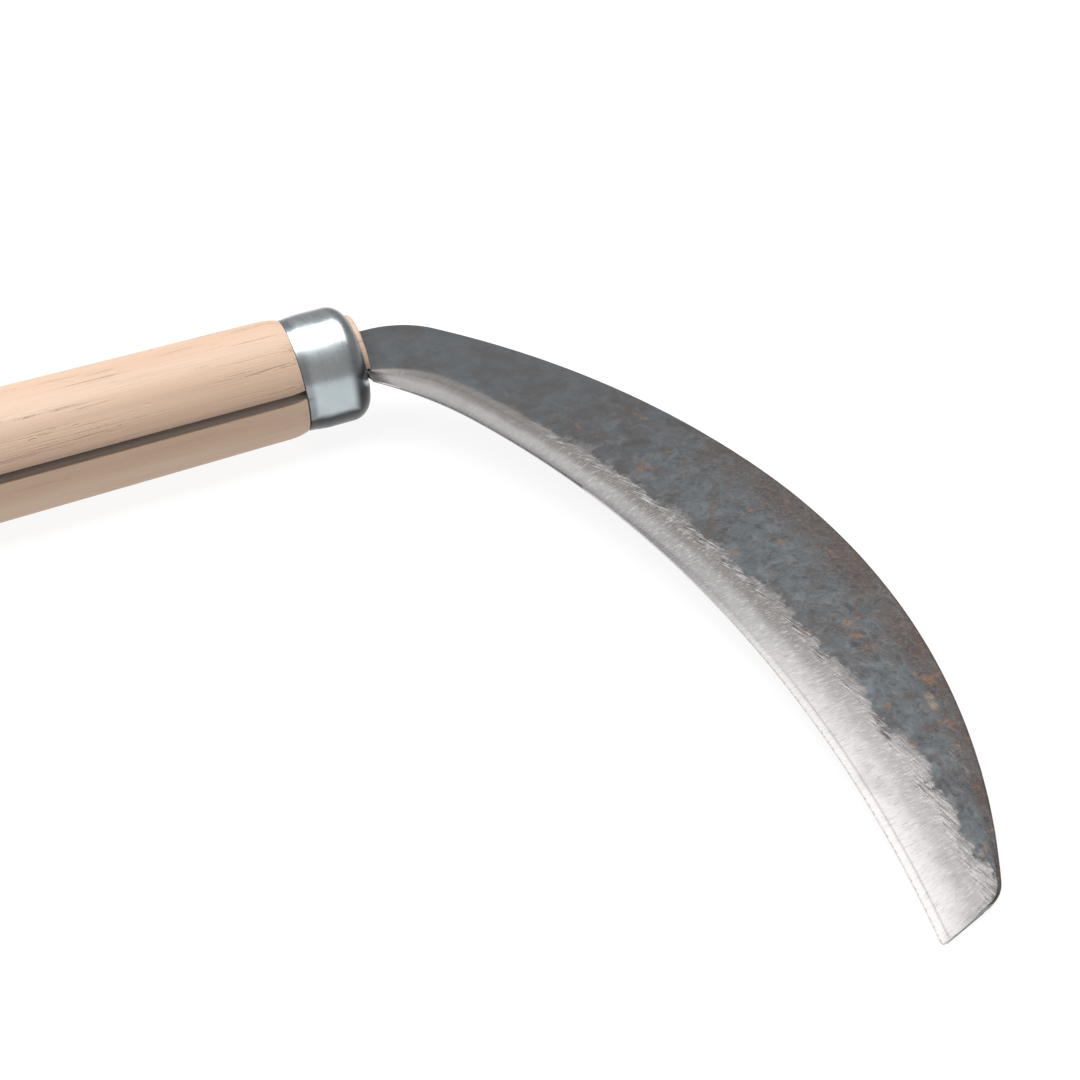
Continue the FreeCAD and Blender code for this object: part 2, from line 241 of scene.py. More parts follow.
def rib(t):
    """Edge point, direction across, spine point, distance along the edge, and squareness, at a fraction."""
    along = EDGE.length * t
    start = edge_point(along)
    _, direction = EDGE.at(min(along, EDGE.length * 0.9999))
    inward = heading(direction - 90)
    if t < TIP_FAN:
        reach = spine_facing(start, inward) - ROOT_REACH * (1 - smooth(t, 0.0, ROOT_FAN))
    else:
        reach = lerp(TIP_REACH, SPINE.length, (t - TIP_FAN) / (1 - TIP_FAN))
    back = spine_point(max(reach, 0.0))
    across = (back - start).normalized()
    return start, across, back, along, across.dot(inward)


# ---- cross-sections of the blade ----

FACING_WIDTH = 10.0 * MM
FACING_SHOWN = 1.5 * MM
FACING_HIDDEN = 0.02 * MM
FACING_THICKNESS = 0.3 * MM
FACING_STEPS = (0.25, 0.5, 0.75, 1.0)
FACING_UNDER_STEPS = (0.85, 0.7, 0.55, 0.4, 0.3, 0.2, 0.1, 0.02)
# The most of a section that the bevel and the facing may take.
BEVEL_LIMIT = 0.93
FACING_LIMIT = 0.8
# Stretches along the edge where the rounded-over heel turns into a flat bevel, and where the facing shows.
BEVEL_FLATTENS = (-2 * MM, 14 * MM)
FACING_EMERGES = (60 * MM, 115 * MM)
# The bevel's soft ridge: at this share of its width it has risen by this share of its height.
RIDGE = 0.64
RIDGE_RISE = 0.82
# How full the rounded-over heel is, and how far up a section its height is taken.
HEEL_FULLNESS = 1.7
HEIGHT_PLACE = 0.4
BEVEL_STEPS = (0, 0.04, 0.09, 0.15, 0.21, 0.28, 0.35, 0.42, 0.48, 0.53)
BEVEL_STEPS += (0.57, 0.61, 0.65, 0.69, 0.74, 0.8, 0.87, 0.94, 1)
FACE_STEPS = 52
SPINE_ANGLES = (15, 35, 55, 75, 90, 105, 125, 145, 165)
UNDER_STEPS = 26
STATIONS = 520
SPINE_RIM = 0.8 * MM
FACE_CROWN = 0.16 * MM
UNDER_SUNK = 0.06 * MM
# How steeply the forged relief fades in beside a face's borders.
BORDER_EASE = 6
# Values of share that the materials know: bare ground metal, forge scale, the underside and the welded seam.
GROUND = 0.2
SCALED = 1.5
UNDER = 3.0
SEAM = 4.0
LOOP_SIZE = 1 + len(BEVEL_STEPS) + FACE_STEPS + len(SPINE_ANGLES) + UNDER_STEPS + 1 + 2


def top_at(y):
    """Height of the blade's upper face, which falls evenly from the root to the tip."""
    start = 12 * MM
    return TOPSIDE - (TOPSIDE - UNDERSIDE - TIP_THICKNESS) * clamp((-y - start) / (-EDGE.end.y - start))


# Width of the ground bevel at the heel, past its quick opening, and towards the tip, and where it changes.
BEVEL_HEEL = 0.9 * MM
BEVEL_ROOT = 7.1 * MM
BEVEL_TIP = 13.3 * MM
BEVEL_OPENS = 22 * MM
BEVEL_WIDENS = (30 * MM, 190 * MM)
BEVEL_WAVER = 0.35 * MM


def bevel_width(along):
    """Width of the ground bevel: it opens quickly at the heel, then widens slowly and a little unevenly."""
    opening = 1 - (1 - clamp(along / BEVEL_OPENS)) ** 2
    width = lerp(BEVEL_HEEL, BEVEL_ROOT, opening) + (BEVEL_TIP - BEVEL_ROOT) * smooth(along, *BEVEL_WIDENS)
    return width + BEVEL_WAVER * wobble(1, along / (8 * MM)) * smooth(along, 5 * MM, 20 * MM)


def bevel_rise(f):
    """Share of the bevel's height at a share of its width: main bevel, soft ridge, flatter blend."""
    low = f / RIDGE * RIDGE_RISE
    high = RIDGE_RISE + (f - RIDGE) / (1 - RIDGE) * (1 - RIDGE_RISE)
    return lerp(low, high, smooth(f, RIDGE - 0.06, RIDGE + 0.06))


def pitting(x, y, along):
    """How deep the forged face is pitted here, from 0 to 1: smooth at the root, rough towards the tip."""
    rough = smooth(along, 55 * MM, 125 * MM) * (0.75 + 0.6 * wobble(5, x / (23 * MM), y / (23 * MM)))
    coarse = smooth(-wobble(6, x / (1.6 * MM), y / (1.25 * MM)), 0.12, 0.50)
    fine = smooth(-wobble(9, x / (0.75 * MM), y / (0.75 * MM)), 0.15, 0.5)
    return clamp(rough) * max(coarse, 0.6 * fine)


def forged_height(x, y, along):
    """Hammer marks, scale ripples and pits of a forged face."""
    broad = 0.075 * wobble(3, x / (19 * MM), y / (15 * MM))
    ripple = 0.05 * wobble(4, x / (3.6 * MM), y / (3.0 * MM)) * (0.3 + 0.7 * smooth(along, 50 * MM, 110 * MM))
    grain = 0.018 * wobble(2, x / (0.9 * MM), y / (0.9 * MM))
    return (broad + ripple + grain - 0.13 * pitting(x, y, along)) * MM


class Section:
    """One cross-section of the blade, from the edge to the spine along a rib."""

    def __init__(self, t):
        self.start, self.across, self.back, self.along, self.square = rib(t)
        self.span = (self.back - self.start).length
        self.width = min(bevel_width(self.along) / self.square, BEVEL_LIMIT * self.span)
        self.top = top_at(lerp(self.start.y, self.back.y, HEIGHT_PLACE))
        self.ground = smooth(self.along, *BEVEL_FLATTENS)
        self.lowest = UNDERSIDE + EDGE_THICKNESS
        shown = smooth(self.along, *FACING_EMERGES)
        self.shown = max(FACING_SHOWN * shown / self.square, FACING_HIDDEN)
        self.seam = lerp(UNDERSIDE + FACING_THICKNESS, self.bevel_height(self.shown), shown)
        self.facing = self.place(min(FACING_WIDTH / self.square, FACING_LIMIT * self.span))

    def place(self, reach):
        return self.start + self.across * reach

    def bevel_height(self, reach):
        """Height above a place on the bevel, which at the heel is rounded over rather than flat."""
        f = clamp(reach / self.width)
        rounded_over = 1 - (1 - f) ** HEEL_FULLNESS
        return self.lowest + (self.top - self.lowest) * lerp(rounded_over, bevel_rise(f), self.ground)


class Loop:
    """The points round one section, with what the materials need to know about each."""

    def __init__(self, section):
        self.section = section
        self.points, self.inset, self.share, self.pit = [], [], [], []

    def add(self, place, height, share, pit=0.0):
        self.points.append(Vector((place.x, place.y, height)))
        self.inset.append((place - self.section.start).length * self.section.square)
        self.share.append(share)
        self.pit.append(pit)


def blade_loop(section):
    """Points round the iron. share: 0 to 1 up the bevel, 1 to 2 across the face, 2 to 2.5 round the spine."""
    s = section
    loop = Loop(s)
    loop.add(s.place(s.shown), s.seam, 0.0)
    for f in BEVEL_STEPS:
        reach = lerp(s.shown, s.width, f)
        loop.add(s.place(reach), max(s.bevel_height(reach), s.seam), reach / s.width)
    shoulder = s.place(s.width)
    inner = s.back - s.across * SPINE_RIM
    for i in range(1, FACE_STEPS + 1):
        f = i / FACE_STEPS
        place = lerp(shoulder, inner, f)
        ease = min(1.0, f * BORDER_EASE)
        crown = FACE_CROWN * math.sin(math.pi * f)
        height = s.top + crown + ease * forged_height(place.x, place.y, s.along)
        loop.add(place, height, 1 + f, ease * pitting(place.x, place.y, s.along))
    middle, half = (s.top + UNDERSIDE) / 2, (s.top - UNDERSIDE) / 2
    for angle in SPINE_ANGLES:
        sweep = math.radians(angle)
        bulge = SPINE_RIM * math.sin(sweep) ** 0.7
        dent = 0.05 * MM * wobble(14, s.along / (7 * MM)) * math.sin(sweep)
        share = 2.0 + 0.5 * angle / 180
        loop.add(inner + s.across * (bulge - abs(dent)), middle + half * math.cos(sweep), share)
    for i in range(UNDER_STEPS + 1):
        f = i / UNDER_STEPS
        place = lerp(inner, s.facing, f)
        raised = forged_height(place.x + 0.3, place.y, s.along) - UNDER_SUNK
        ease = min(1, f * BORDER_EASE, (1 - f) * BORDER_EASE)
        loop.add(place, UNDERSIDE - min(0.0, raised) * ease, UNDER)
    for f in (0.0, 0.5):
        loop.add(lerp(s.facing, s.place(s.shown), f), s.seam, SEAM)
    return loop


def facing_loop(section):
    """Points round the hard-steel facing, in the same terms; its side wall counts as the bevel's start."""
    s = section
    loop = Loop(s)
    low_edge = min(s.lowest, s.seam)
    loop.add(s.start, UNDERSIDE, 0.0)
    loop.add(s.start, low_edge, 0.0)
    for f in FACING_STEPS:
        reach = s.shown * f
        loop.add(s.place(reach), lerp(low_edge, s.seam, f), reach / s.width)
    loop.add(s.facing, s.seam, SEAM)
    loop.add(s.facing, UNDERSIDE, UNDER)
    for f in FACING_UNDER_STEPS:
        loop.add(lerp(s.start, s.facing, f), UNDERSIDE, UNDER)
    return loop


FACET_STEP = 0.12 * MM
FACET_SHRINK = 0.82
FACET_INSET = 3.0 * MM
FACET_SHARE = 0.3


def tip_facet(last):
    """A slightly thinner copy of the last section just past it: the bare, filed face of the tip cut."""
    facet = Loop(last.section)
    beyond = Vector((TIP_LINE.y, -TIP_LINE.x, 0)) * FACET_STEP
    middle = sum((point.z for point in last.points), 0.0) / len(last.points)
    for point in last.points:
        place = point + beyond
        facet.points.append(Vector((place.x, place.y, lerp(middle, point.z, FACET_SHRINK))))
        facet.inset.append(FACET_INSET)
        facet.share.append(FACET_SHARE)
        facet.pit.append(0.0)
    return facet


TANG_RIM = 0.25 * MM
TANG_STEPS = 24
# The hook's corners are eased by these lengths.
HOOK_CORNER = 0.3 * MM
HOOK_FILLET = 0.4 * MM


def tang_loop(low, high):
    """Points round the tang between its edge side and its spine side, in the blade loop's own order."""
    points = []
    face_end = 1 + len(BEVEL_STEPS) + FACE_STEPS
    spine_end = face_end + len(SPINE_ANGLES)
    for j in range(LOOP_SIZE):
        if j == 0:
            place, height = low, UNDERSIDE + TANG_RIM
        elif j < face_end:
            place = lerp(low, high, (j - 1) / (face_end - 2))
            height = TOPSIDE - (TANG_RIM if j in (1, face_end - 1) else 0)
        elif j < spine_end:
            place = high
            down = (j - face_end + 1) / (len(SPINE_ANGLES) + 1)
            height = lerp(TOPSIDE - TANG_RIM, UNDERSIDE + TANG_RIM, down)
        else:
            place = lerp(high, low, (j - spine_end) / (LOOP_SIZE - spine_end))
            height = UNDERSIDE
        points.append(Vector((place.x, place.y, height)))
    return points


def tang_loops():
    """Sections of the tang: the upturned hook at its rear, then the taper up to the neck."""
    root = spine_point(0)
    rear_low = Vector((TANG_REAR, KERF_BOTTOM - TANG_END_WIDTH, 0))
    hook_front = TANG_REAR + HOOK_WIDTH
    hook_top = KERF_BOTTOM + HOOK_DEPTH
    stations = [(x, hook_top) for x in (TANG_REAR, TANG_REAR + HOOK_CORNER, hook_front - HOOK_CORNER)]
    stations += [(hook_front, KERF_BOTTOM + HOOK_FILLET), (hook_front + HOOK_FILLET, KERF_BOTTOM)]
    stations += [(lerp(hook_front, NECK.x, i / TANG_STEPS), KERF_BOTTOM) for i in range(1, TANG_STEPS + 1)]
    loops = []
    for x, high_y in stations:
        f = (x - TANG_REAR) / (NECK.x - TANG_REAR)
        high = Vector((lerp(TANG_REAR, root.x - 0.8 * MM, f), high_y, 0))
        loops.append(tang_loop(lerp(rear_low, NECK, f), high))
    return loops


NECK_LOOPS = 3
# The tang counts as far in from the edge, in metres like every inset.
TANG_INSET = 0.02
BLADE_CREASE = 42


def blade_values(loops, lead):
    """What each point carries for the materials; lead counts the tang's loops before the blade's."""
    # The neck's edge side is ground bright with the heel, so the tang's last loops are bare metal there.
    neck_loop = [GROUND] * 3 + [SCALED] * (LOOP_SIZE - 4) + [GROUND]
    neck = [neck_loop] * min(lead, NECK_LOOPS)
    return {
        "inset": [[TANG_INSET] * LOOP_SIZE] * lead + [loop.inset for loop in loops],
        "share": [[SCALED] * LOOP_SIZE] * (lead - len(neck)) + neck + [loop.share for loop in loops],
        "pit": [[0.0] * LOOP_SIZE] * lead + [loop.pit for loop in loops],
        "along": [[0.0] * LOOP_SIZE] * lead + [[loop.section.along] * len(loop.points) for loop in loops],
    }


def make_blade():
    """Hooked tang and crescent blade as one skin, and the hard-steel facing let into its underside."""
    tang = tang_loops()
    sections = [Section(i / STATIONS) for i in range(STATIONS + 1)]
    iron = [blade_loop(section) for section in sections]
    steel = [facing_loop(section) for section in sections]
    iron.append(tip_facet(iron[-1]))
    steel.append(tip_facet(steel[-1]))
    blade = tube("forged_blade", tang + [loop.points for loop in iron], blade_values(iron, len(tang)))
    facing = tube("steel_facing", [loop.points for loop in steel], blade_values(steel, 0))
    for piece in (blade, facing):
        smooth_by_angle(piece, BLADE_CREASE)
    return blade, facing


# ---- ferrule ----

WALL = 0.9 * MM
ROLL_RADIUS = 5.0 * MM
ROLL_ANGLE = 64.0
ROLL_X = FERRULE_FRONT - ROLL_RADIUS * math.sin(math.radians(ROLL_ANGLE))
ROLL_R = FERRULE_RADIUS - ROLL_RADIUS
NECK_MARK = LAY @ Vector((FERRULE_FRONT - 0.4 * MM, -12.2 * MM, MIDPLANE))
CINCH = 0.6 * MM
CINCH_LENGTH = 6.0 * MM
LIP = 0.22 * MM
BARREL_STEPS = 30
ROLL_STEPS = 18
INNER_ROLL_STEPS = 7
# A shallow groove runs round behind the rear rim, and a stake presses the rim into the kerf.
GROOVE_PLACE = 1.7 * MM
GROOVE_WIDTH = 0.5 * MM
GROOVE_DEPTH = 0.14 * MM
STAKE_WIDTH = 1.3 * MM
STAKE_LENGTH = 2.6 * MM
STAKE_DEPTH = 0.5 * MM
DENT_DEPTH = 0.05 * MM
DENT_LENGTH = 9 * MM
AROUND_FERRULE = 160
FERRULE_CREASE = 50
# The cap sits a little askew: how far it shifts along the handle for each step across and up.
SKEW = Vector((0, -0.53, -0.848)) * 0.02


def cinch(x):
    """How much narrower the cap is towards its rear rim."""
    return CINCH * (1 - smooth(x, FERRULE_REAR - 2 * MM, FERRULE_REAR + CINCH_LENGTH))


def ferrule_profile():
    """Closed profile of the cap's sheet: distance along the handle, radius, and 1 on the outer skin."""
    outer = [
        (FERRULE_REAR, FERRULE_RADIUS - WALL + LIP),
        (FERRULE_REAR + 0.04 * MM, FERRULE_RADIUS - 1.6 * LIP),
        (FERRULE_REAR + LIP, FERRULE_RADIUS - 0.3 * LIP),
    ]
    barrel = FERRULE_REAR + 0.5 * MM
    outer += [(lerp(barrel, ROLL_X, i / BARREL_STEPS), FERRULE_RADIUS) for i in range(BARREL_STEPS + 1)]
    outer += [roll_point(ROLL_RADIUS, ROLL_ANGLE * i / ROLL_STEPS) for i in range(1, ROLL_STEPS + 1)]
    outer.append(roll_point(ROLL_RADIUS - WALL / 2, ROLL_ANGLE + 3))
    inner = []
    for i in range(INNER_ROLL_STEPS, -1, -1):
        inner.append(roll_point(ROLL_RADIUS - WALL, ROLL_ANGLE * i / INNER_ROLL_STEPS))
    inner += [(lerp(ROLL_X, FERRULE_REAR, f), FERRULE_RADIUS - WALL) for f in (0.2, 0.4, 0.6, 0.8, 0.97)]
    return [(x, r, 1) for x, r in outer] + [(x, r, 0) for x, r in inner]


def roll_point(radius, degrees):
    """A point of the rolled front at this distance from the roll's centre, turned from the barrel inwards."""
    angle = math.radians(degrees)
    return ROLL_X + radius * math.sin(angle), ROLL_R + radius * math.cos(angle)


def make_ferrule():
    """Pressed cap: cinched and stepped behind its rear rim, staked at the kerf, and a little askew."""
    kerf_angle = math.atan2(MIDPLANE, -FERRULE_RADIUS)
    bm = bmesh.new()
    rings = []
    for i in range(AROUND_FERRULE):
        angle = 2 * math.pi * i / AROUND_FERRULE
        c, s = math.cos(angle), math.sin(angle)
        off = (angle - kerf_angle + math.pi) % (2 * math.pi) - math.pi
        ring = []
        for x, r, outside in ferrule_profile():
            rear = x - FERRULE_REAR
            groove = bell(rear - GROOVE_PLACE, GROOVE_WIDTH) * (0.55 + 0.45 * wobble(8, 3 * c, 3 * s))
            stake = bell(off * r, STAKE_WIDTH) * bell(rear, STAKE_LENGTH)
            dent = wobble(7, 2.2 * c, 2.2 * s, x / DENT_LENGTH)
            r += outside * (DENT_DEPTH * dent - GROOVE_DEPTH * groove) - STAKE_DEPTH * stake - cinch(x)
            y, z = r * c, r * s
            ring.append(bm.verts.new((x + SKEW.y * y + SKEW.z * z, y, z)))
        rings.append(ring)
    bridge(bm, rings, closed=True)
    piece = finish_mesh("pressed_ferrule", bm)
    smooth_by_angle(piece, FERRULE_CREASE)
    return piece


# ---- handle ----

AROUND_HANDLE = 160
FIT = 0.03 * MM
SEAT_RADIUS = FERRULE_RADIUS - WALL - FIT
NOSE_RADIUS = 11.3 * MM
NOSE_X = (ROLL_X + FERRULE_FRONT) / 2
NOSE_ROUNDING = 0.7 * MM
NOSE_PARED = 2.4 * MM
ROUNDING_STEPS = 8
NOSE_STEPS = 12
BUTT_ROUNDING = 3.0 * MM
SWELL = 200 * MM
WAIST_DEPTH = 0.7 * MM
NECK_RADIUS = 15 * MM
NECK_EASE = 0.75 * MM
NECK_LENGTH = 4.5 * MM
SHAVING_DEPTH = 0.09 * MM
HANDLE_CREASE = 35


def stick_radius(x):
    """Radius of the shaved stick: rounded butt, waist, taper up to the cap, and the seat inside it."""
    neck = FERRULE_REAR - NECK_LENGTH
    if x < BUTT_ROUNDING:
        return GRIP_RADIUS - BUTT_ROUNDING + math.sqrt(max(0.0, BUTT_ROUNDING**2 - (BUTT_ROUNDING - x) ** 2))
    if x < SWELL:
        f = (x - BUTT_ROUNDING) / (SWELL - BUTT_ROUNDING)
        return GRIP_RADIUS - WAIST_DEPTH * 4 * f * (1 - f)
    if x < FERRULE_REAR:
        eased = NECK_EASE * clamp((x - neck) / NECK_LENGTH) ** 2
        return lerp(GRIP_RADIUS, NECK_RADIUS, clamp((x - SWELL) / (neck - SWELL))) - eased
    return SEAT_RADIUS - cinch(x)


def handle_stations():
    """Distances along the stick, closer together where its outline turns."""
    stations = [d * MM for d in (0, 0.15, 0.4, 0.8, 1.3, 2.0, 3.0)]
    last = FERRULE_REAR - 8 * MM
    count = int(last / (2.0 * MM))
    stations += [lerp(BUTT_ROUNDING, last, i / count) for i in range(1, count + 1)]
    near_cap = (-6, -4.5, -3.4, -2.5, -1.8, -1.2, -0.7, -0.3, -0.02, 0.02, 3, 6)
    stations += [FERRULE_REAR + d * MM for d in near_cap]
    return stations + [ROLL_X]


def nose_rings():
    """Shrinking rings of the front end: distance along the handle and radius, round the rim and then in."""
    rings = [(NOSE_X, NOSE_RADIUS)]
    for i in range(ROUNDING_STEPS + 1):
        sweep = math.radians(90 * i / ROUNDING_STEPS)
        x = ROOT_X - NOSE_ROUNDING * (1 - math.sin(sweep))
        rings.append((x, NOSE_RADIUS - NOSE_ROUNDING * (1 - math.cos(sweep))))
    flat = NOSE_RADIUS - NOSE_ROUNDING
    return rings + [(ROOT_X, flat * (1 - i / NOSE_STEPS)) for i in range(1, NOSE_STEPS)]


def shaved_ring(bm, x):
    """A ring of vertices round the stick, uneven from shaving where the wood shows."""
    ring = []
    for c, s in around(AROUND_HANDLE):
        r = stick_radius(x)
        if 0 < x < FERRULE_REAR:
            shaving = wobble(11, c * 3.2, s * 3.2, x / (70 * MM))
            shaving += 0.4 * wobble(12, c * 8, s * 8, x / (40 * MM))
            r -= SHAVING_DEPTH * (0.7 + shaving)
        ring.append(bm.verts.new((x, r * c, r * s)))
    return ring


def pared_ring(bm, x, r):
    """A ring of vertices round the nose, which is pared back along its lower side."""
    ring = []
    for c, s in around(AROUND_HANDLE):
        y, z = r * c, r * s
        pared = NOSE_PARED * smooth(-z, -3.2 * MM, 0.2 * MM) * (x - NOSE_X) / (ROOT_X - NOSE_X)
        ring.append(bm.verts.new((x - pared, y, z)))
    return ring


def make_stick():
    """The uncut stick: shaved round, with a seat for the cap and a nose that stands out of it."""
    bm = bmesh.new()
    rings = [shaved_ring(bm, x) for x in handle_stations()]
    rings += [pared_ring(bm, x, r) for x, r in nose_rings()]
    bridge(bm, rings)
    for ring, centre in ((rings[0], bm.verts.new((0, 0, 0))), (rings[-1], bm.verts.new((ROOT_X, 0, 0)))):
        for j in range(AROUND_HANDLE):
            bm.faces.new((centre, ring[j], ring[(j + 1) % AROUND_HANDLE]))
    return finish_mesh("wooden_handle", bm)


SAW_RADIUS = 25 * MM
SAW_MARGIN = 2 * MM
SAW_ARC_STEPS = 24
SAW_STEPS = 12
DRIFT_FAR = 1.05 * MM
DRIFT_NEAR = 0.6 * MM


def saw_drift(x, y):
    """How far the kerf has wandered upwards at its mouth; it is true again inside the ferrule."""
    drift = lerp(DRIFT_FAR, DRIFT_NEAR, smooth(x, KERF_END, FERRULE_REAR))
    inside = smooth(x, FERRULE_REAR + 2 * MM, FERRULE_REAR + 8 * MM)
    return drift * smooth(-y, 8.5 * MM, 14 * MM) * (1 - inside)


def make_saw():
    """What the saw takes out: a slot open along the edge side and the front, run out in an arc."""
    open_side = -GRIP_RADIUS - SAW_MARGIN
    sections = []
    for i in range(1, SAW_ARC_STEPS // 2 + 1):
        angle = math.pi * i / SAW_ARC_STEPS
        depth = -GRIP_RADIUS + SAW_RADIUS * math.sin(angle)
        if depth < KERF_BOTTOM:
            sections.append((KERF_END + SAW_RADIUS * (1 - math.cos(angle)), depth))
    sections.append((sections[-1][0] + 2 * MM, KERF_BOTTOM))
    sections += [(x, KERF_BOTTOM) for x in (FERRULE_REAR + 2 * MM, FERRULE_REAR + 8 * MM, ROOT_X + 8 * MM)]
    bm = bmesh.new()
    rings = []
    for x, depth in sections:
        across = [lerp(depth, open_side, i / SAW_STEPS) for i in range(SAW_STEPS + 1)]
        low = [(x, y, UNDERSIDE + saw_drift(x, y)) for y in across]
        high = [(x, y, TOPSIDE + saw_drift(x, y)) for y in across]
        rings.append([bm.verts.new(corner) for corner in low + high[::-1]])
    bridge(bm, rings)
    bm.faces.new(rings[0][::-1])
    bm.faces.new(rings[-1])
    return finish_mesh("saw", bm)


def make_handle():
    """The stick with its kerf sawn out."""
    handle = make_stick()
    saw = make_saw()
    cut = handle.modifiers.new("kerf", "BOOLEAN")
    cut.operation = "DIFFERENCE"
    cut.solver = "EXACT"
    cut.object = saw
    carved = handle.evaluated_get(bpy.context.evaluated_depsgraph_get())
    handle.data = bpy.data.meshes.new_from_object(carved)
    handle.modifiers.clear()
    bpy.data.objects.remove(saw)
    smooth_by_angle(handle, HANDLE_CREASE)
    return handle


# ---- materials ----

class Paint:
    """A node material, written as nested calls whose results are sockets."""

    def __init__(self, name, **constants):
        self.material = bpy.data.materials.new(name)
        self.material.use_nodes = True
        self.tree = self.material.node_tree
        self.shader = self.tree.nodes["Principled BSDF"]
        for socket, value in constants.items():
            self.shader.inputs[socket.replace("_", " ")].default_value = value

    def node(self, kind, inputs, output=0, **settings):
        """Adds a node, feeds its inputs by name or number, and returns one of its outputs."""
        node = self.tree.nodes.new("ShaderNode" + kind)
        for key, value in settings.items():
            setattr(node, key, value)
        for key, value in inputs.items():
            self.feed(node.inputs[key], value)
        return node.outputs[output]

    def feed(self, socket, value):
        """Links a socket to a result, or sets it to a constant."""
        if isinstance(value, bpy.types.NodeSocket):
            self.tree.links.new(value, socket)
        elif isinstance(value, tuple) and socket.type == "RGBA":
            socket.default_value = (*value, 1)
        else:
            socket.default_value = value

    def drive(self, socket, value):
        self.feed(self.shader.inputs[socket], value)

    def math(self, operation, a, b=0.0):
        return self.node("Math", {0: a, 1: b}, operation=operation)

    def add(self, a, b):
        return self.math("ADD", a, b)

    def sub(self, a, b):
        return self.math("SUBTRACT", a, b)

    def mul(self, a, b):
        return self.math("MULTIPLY", a, b)

    def high(self, a, b):
        return self.math("MAXIMUM", a, b)

    def fade(self, value, low, high, out_low=0.0, out_high=1.0):
        """An even ease from out_low at low to out_high at high."""
        inputs = {"Value": value, "From Min": low, "From Max": high, "To Min": out_low, "To Max": out_high}
        return self.node("MapRange", inputs, interpolation_type="SMOOTHSTEP")

    def fall(self, value, low, high):
        """1 up to low, 0 from high on, and an even ease between them."""
        return self.fade(value, low, high, 1.0, 0.0)

    def rise(self, value, start):
        """An even ease from start to 1, for a value from 0 to 1."""
        return self.fade(value, 0.0, 1.0, start, 1.0)

    def swing(self, value, size):
        """A noise about zero, this many times its own size."""
        return self.mul(self.sub(value, 0.5), size)

    def mix(self, factor, a, b):
        return self.node("Mix", {0: factor, 6: a, 7: b}, output=2, data_type="RGBA")

    def over(self, base, colour, *factors):
        """The base with a colour laid over it, as strongly as the product of the factors."""
        strength = factors[0]
        for factor in factors[1:]:
            strength = self.mul(strength, factor)
        return self.mix(strength, base, colour)

    def attribute(self, name):
        return self.node("Attribute", {}, output=2, attribute_name=name)

    def place(self, scale=(1, 1, 1)):
        """Where this point is on the piece, scaled."""
        where = self.node("TexCoord", {}, output=3)
        return self.node("Mapping", {"Vector": where, "Scale": scale})

    def vector(self, x, y, z=0.0):
        return self.node("CombineXYZ", {"X": x, "Y": y, "Z": z})

    def noise(self, vector, scale=1.0, detail=3.0, roughness=0.5, distortion=0.0):
        inputs = {"Vector": vector, "Scale": scale, "Detail": detail, "Roughness": roughness}
        return self.node("TexNoise", inputs | {"Distortion": distortion})

    def bump(self, height, depth, strength=1.0):
        return self.node("Bump", {"Height": height, "Distance": depth, "Strength": strength})


def per(millimetres):
    """Texture scale that gives features of this size."""
    return 1 / (millimetres * MM)


# Linear colours of the wood, the plated sheet, the blade with its marks, and the floor.
WOOD_TAN = (0.463, 0.328, 0.236)
WOOD_PALE = (0.502, 0.365, 0.268)
WOOD_LATE = (0.44, 0.298, 0.210)
WOOD_FIBRE = (0.40, 0.278, 0.198)
WOOD_LINE = (0.24, 0.150, 0.098)
WOOD_SMUDGE = (0.20, 0.145, 0.11)
WOOD_PAINTED_SHADE = (0.22, 0.155, 0.115)
WOOD_SAWN_AND_PAINTED_LIGHT = (0.66, 0.60, 0.56)
ZINC_CLOUD = (0.435, 0.492, 0.515)
ZINC_CLEAR = (0.485, 0.540, 0.560)
ZINC_PAINTED_SHADE = (0.046, 0.047, 0.049)
ZINC_SPECK = (0.20, 0.20, 0.20)
GROUND_ROOT_WITH_REFLECTION = (0.172, 0.166, 0.165)
GROUND_MIDDLE_WITH_REFLECTION = (0.150, 0.145, 0.144)
GROUND_BRIGHT_REFLECTION = (0.330, 0.318, 0.316)
GROUND_TIP_WITH_REFLECTION = (0.232, 0.222, 0.221)
GROUND_DULL = (0.084, 0.077, 0.072)
GROUND_LIGHT = (0.350, 0.338, 0.334)
GROUND_SHADE = (0.080, 0.076, 0.075)
GROUND_DARK = (0.038, 0.036, 0.035)
GROUND_HONED = (0.350, 0.342, 0.340)
SCALE_GREY = (0.066, 0.067, 0.069)
SCALE_BLUE = (0.075, 0.088, 0.097)
SCALE_PALE = (0.118, 0.135, 0.146)
SCALE_DARK = (0.036, 0.036, 0.038)
SPINE_BROWN = (0.066, 0.046, 0.038)
SCALE_BROWN = (0.072, 0.055, 0.046)
EDGE_SHADE = (0.088, 0.088, 0.092)
EDGE_STAIN = (0.20, 0.155, 0.105)
RUST = (0.190, 0.104, 0.060)
FLECK = (0.26, 0.255, 0.245)
SCUFF = (0.23, 0.21, 0.195)
BARE_TAN = (0.22, 0.165, 0.125)
SCALE_DARKENING = (0.004, 0.004, 0.004)
PAPER_DARK = (0.075, 0.075, 0.075)
PAPER_LIGHT = (0.085, 0.085, 0.085)

# Distances along the edge of the bare tan patch and of the scuffed one.
BARE_PLACE = 160.4 * MM
SCUFF_PLACE = 173.5 * MM


